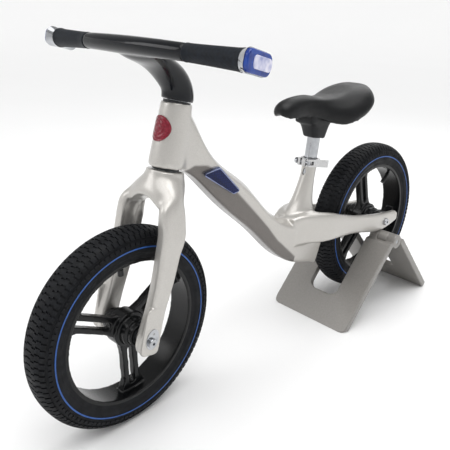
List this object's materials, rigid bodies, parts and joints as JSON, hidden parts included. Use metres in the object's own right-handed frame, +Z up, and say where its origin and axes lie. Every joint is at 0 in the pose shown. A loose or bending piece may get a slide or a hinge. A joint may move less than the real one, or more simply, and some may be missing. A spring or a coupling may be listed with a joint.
{
  "type": "balance bike",
  "caption": "Child's balance bike with cast frame and fork, spoked tyred wheels, one-piece bar with lit ends, padded saddle on a clamped post and a folding parking stand.",
  "frame": {"origin": "on the ground under the middle of the parking stand's front foot", "axes": "+X forward, +Y to the bike's left, +Z up"},
  "size_m": [0.8976, 0.3796, 0.5529],
  "materials": {
    "pearl_white_paint": "pearl white metallic paint on cast magnesium",
    "red_enamel": "translucent red enamel on an aluminium disc",
    "light_bezel_plastic": "silvered plastic",
    "smoked_blue_lens": "dark blue translucent plastic",
    "bearing_steel": "ground steel with black seals",
    "zinc_plated_steel": "zinc plated",
    "chromed_steel": "polished chrome plate",
    "polished_aluminium": "polished",
    "black_gloss_lacquer": "gloss black lacquer on cast alloy",
    "black_grip_rubber": "matt rubber",
    "blue_clear_plastic": "translucent blue plastic",
    "lamp_core_plastic": "moulded plastic",
    "white_lens_plastic": "frosted lilac-white plastic",
    "black_satin_rim_paint": "satin black paint on cast magnesium",
    "black_tyre_rubber": "moulded rubber with a blue line on each wall",
    "inner_tube_rubber": "butyl rubber",
    "valve_brass": "turned brass",
    "black_cap_plastic": "moulded plastic",
    "black_saddle_plastic": "moulded plastic",
    "black_saddle_vinyl": "satin black vinyl over foam",
    "grey_stand_plastic": "pale grey moulded plastic"
  },
  "bodies": {
    "frame": {"frame": "pearl_white_paint", "head_badge": "red_enamel", "frame_light_bezel_left": "light_bezel_plastic", "frame_light_bezel_right": "light_bezel_plastic", "frame_light_lens_left": "smoked_blue_lens", "frame_light_lens_right": "smoked_blue_lens", "headset_lower_bearing": "bearing_steel", "headset_upper_bearing": "bearing_steel", "rear_axle": "zinc_plated_steel", "rear_axle_spacers": "zinc_plated_steel", "rear_axle_bolts": "chromed_steel", "seat_clamp_collar": "polished_aluminium", "seat_clamp_bolt": "chromed_steel", "seat_clamp_nut": "chromed_steel"},
    "steering": {"fork": "pearl_white_paint", "steerer_tube": "zinc_plated_steel", "front_axle": "zinc_plated_steel", "front_axle_spacers": "zinc_plated_steel", "fork_dropout_plates": "chromed_steel", "front_axle_bolts": "chromed_steel", "handlebar_stem": "black_gloss_lacquer", "stem_screws": "zinc_plated_steel", "grip_left": "black_grip_rubber", "grip_right": "black_grip_rubber", "bar_band_left": "chromed_steel", "bar_band_right": "chromed_steel", "bar_light_cap_left": "blue_clear_plastic", "bar_light_cap_right": "blue_clear_plastic", "bar_light_core_left": "lamp_core_plastic", "bar_light_core_right": "lamp_core_plastic"},
    "light_button_left": {"bar_light_lens_left": "white_lens_plastic"},
    "light_button_right": {"bar_light_lens_right": "white_lens_plastic"},
    "front_wheel": {"front_rim": "black_satin_rim_paint", "front_tyre": "black_tyre_rubber", "front_inner_tube": "inner_tube_rubber", "front_valve": "valve_brass", "front_valve_cap": "black_cap_plastic", "front_hub_bearings": "bearing_steel", "front_hub_spacer": "zinc_plated_steel"},
    "rear_wheel": {"rear_rim": "black_satin_rim_paint", "rear_tyre": "black_tyre_rubber", "rear_inner_tube": "inner_tube_rubber", "rear_valve": "valve_brass", "rear_valve_cap": "black_cap_plastic", "rear_hub_bearings": "bearing_steel", "rear_hub_spacer": "zinc_plated_steel"},
    "seat": {"seat_post": "chromed_steel", "saddle_socket": "black_saddle_plastic", "saddle_base": "black_saddle_plastic", "saddle_pad": "black_saddle_vinyl"},
    "clamp_lever": {"seat_clamp_lever": "polished_aluminium"},
    "stand": {"stand_front_plate": "grey_stand_plastic", "stand_hinge_pins": "zinc_plated_steel"},
    "stand_rear": {"stand_rear_plate": "grey_stand_plastic"}
  },
  "joints": [
    {"name": "steering_turn", "type": "hinge", "parent": "frame", "child": "steering", "pos_m": [0.35102, 0, 0.39875], "axis": [-0.2334, 0, 0.9724], "range_deg": [-44, 36]},
    {"name": "front_wheel_spin", "type": "hinge", "parent": "steering", "child": "front_wheel", "pos_m": [0.43693, 0.00195, 0.15198], "axis": [-0.0729, 0.9972, -0.0175], "continuous": true},
    {"name": "rear_wheel_spin", "type": "hinge", "parent": "frame", "child": "rear_wheel", "pos_m": [-0.157, 0, 0.18], "axis": [0, 1, 0], "continuous": true},
    {"name": "seat_height", "type": "slide", "parent": "frame", "child": "seat", "axis": [-0.1392, 0, 0.9903], "range_m": [-0.018, 0.055]},
    {"name": "clamp_lever_open", "type": "hinge", "parent": "frame", "child": "clamp_lever", "pos_m": [0.05729, 0.0143, 0.33144], "axis": [0.1392, 0, -0.9903], "range_deg": [0, 110]},
    {"name": "light_press_left", "type": "slide", "parent": "steering", "child": "light_button_left", "axis": [0.1739, -0.9839, 0.0417], "range_m": [0, 0.001], "stiffness_N_per_m": 600, "springref_m": -0.001},
    {"name": "light_press_right", "type": "slide", "parent": "steering", "child": "light_button_right", "axis": [0.0288, 0.9996, 0.0069], "range_m": [0, 0.001], "stiffness_N_per_m": 600, "springref_m": -0.001},
    {"name": "stand_drop", "type": "slide", "parent": "frame", "child": "stand", "axis": [0, 0, -1], "range_m": [0, 0.15]},
    {"name": "stand_fold", "type": "hinge", "parent": "stand", "child": "stand_rear", "pos_m": [-0.149, 0, 0.149], "axis": [0, -1, 0], "range_deg": [0, 8]}
  ]
}
